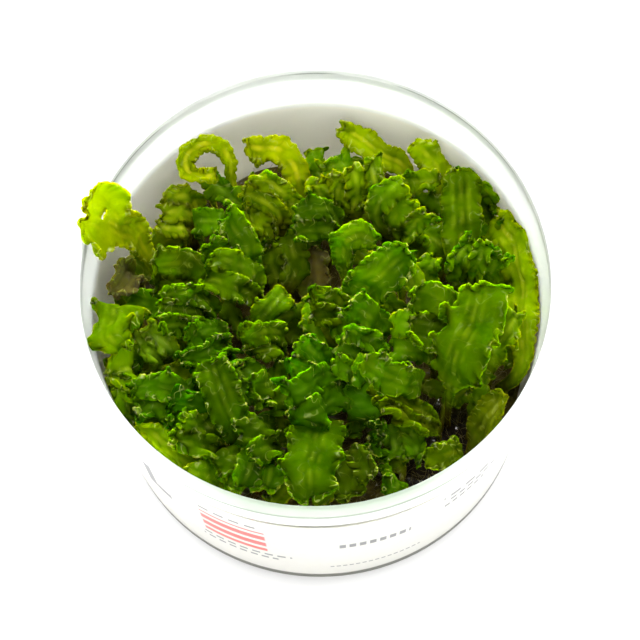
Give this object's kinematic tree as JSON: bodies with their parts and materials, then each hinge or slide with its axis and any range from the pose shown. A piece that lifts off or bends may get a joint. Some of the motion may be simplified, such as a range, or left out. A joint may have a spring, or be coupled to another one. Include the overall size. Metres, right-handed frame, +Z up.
{
  "type": "tissue culture cup of aquarium liverwort",
  "caption": "Open round plastic cup with a label band, holding ruffled ribbon-like green liverwort thalli that grow from a brown mat on nutrient gel.",
  "frame": {"origin": "centre of the cup's flat base, on the plane it stands on", "axes": "+Z up out of the cup's mouth, -Y towards the side the picture was taken from, +X to its right"},
  "size_m": [0.1, 0.1, 0.0698],
  "materials": {
    "cup_plastic": "milky natural polypropylene, glossy",
    "label_film": "white printed film, satin",
    "gel": "clear brownish nutrient gel, wet",
    "rhizoid_mat": "felt of brown rhizoids and old thalli, wet",
    "thallus_bright": "thin yellow-green thallus, wet gloss",
    "thallus_light": "fresh green thallus, wet gloss",
    "thallus_mid": "green thallus, wet gloss",
    "thallus_dark": "dark green thallus, wet gloss",
    "thallus_olive": "olive ageing thallus, wet gloss",
    "thallus_brown": "brown dying thallus, translucent, wet"
  },
  "bodies": {
    "root": {"cup": "cup_plastic", "label": "label_film", "nutrient_gel": "gel", "rhizoid_mat": "rhizoid_mat", "thallus_over_rim": "thallus_bright", "thallus_back_curl": "thallus_bright", "thallus_back_arch": "thallus_bright", "thallus_left_dark": "thallus_dark", "thallus_left_serrate": "thallus_light", "thallus_left_striped": "thallus_light", "thallus_left_ribbed": "thallus_mid", "thallus_left_old": "thallus_brown", "thallus_left_frill": "thallus_bright", "thallus_left_patch": "thallus_bright", "thallus_left_slant": "thallus_olive", "thallus_frizzed": "thallus_mid", "thallus_left_fan": "thallus_mid", "thallus_broad_strip": "thallus_mid", "thallus_strip_branch": "thallus_olive", "thallus_lower_crest": "thallus_light", "thallus_lower_fold": "thallus_mid", "thallus_lower_frizz": "thallus_mid", "thallus_tongue": "thallus_bright", "thallus_tongue_foot": "thallus_bright", "thallus_front_left": "thallus_mid", "thallus_front_corner": "thallus_mid", "thallus_front_streaked": "thallus_light", "thallus_front_big": "thallus_light", "thallus_front_right": "thallus_olive", "thallus_pit_frizz": "thallus_dark", "thallus_pit_leaf": "thallus_dark", "thallus_front_pale": "thallus_light", "thallus_front_bright": "thallus_bright", "thallus_front_tongue": "thallus_light", "thallus_front_curl": "thallus_mid", "thallus_middle_arch": "thallus_mid", "thallus_middle_hook": "thallus_light", "thallus_middle_spray": "thallus_mid", "thallus_middle_shade": "thallus_dark", "thallus_middle_lobe": "thallus_light", "thallus_middle_frill": "thallus_mid", "thallus_forked_upper": "thallus_bright", "thallus_forked_lower": "thallus_bright", "thallus_right_ribbed": "thallus_mid", "thallus_right_smooth": "thallus_light", "thallus_right_big": "thallus_light", "thallus_midrib_leaf": "thallus_light", "thallus_hooked": "thallus_light", "thallus_right_band": "thallus_bright", "thallus_right_foot": "thallus_olive", "thallus_right_frizz": "thallus_light", "thallus_right_strip": "thallus_light", "thallus_back_tip": "thallus_bright", "thallus_lobed": "thallus_light", "thallus_back_band": "thallus_bright", "thallus_crown": "thallus_mid", "thallus_lying": "thallus_mid", "thallus_middle_old": "thallus_brown", "thallus_back_slant": "thallus_mid", "thallus_upright_dark": "thallus_dark"}
  },
  "joints": []
}
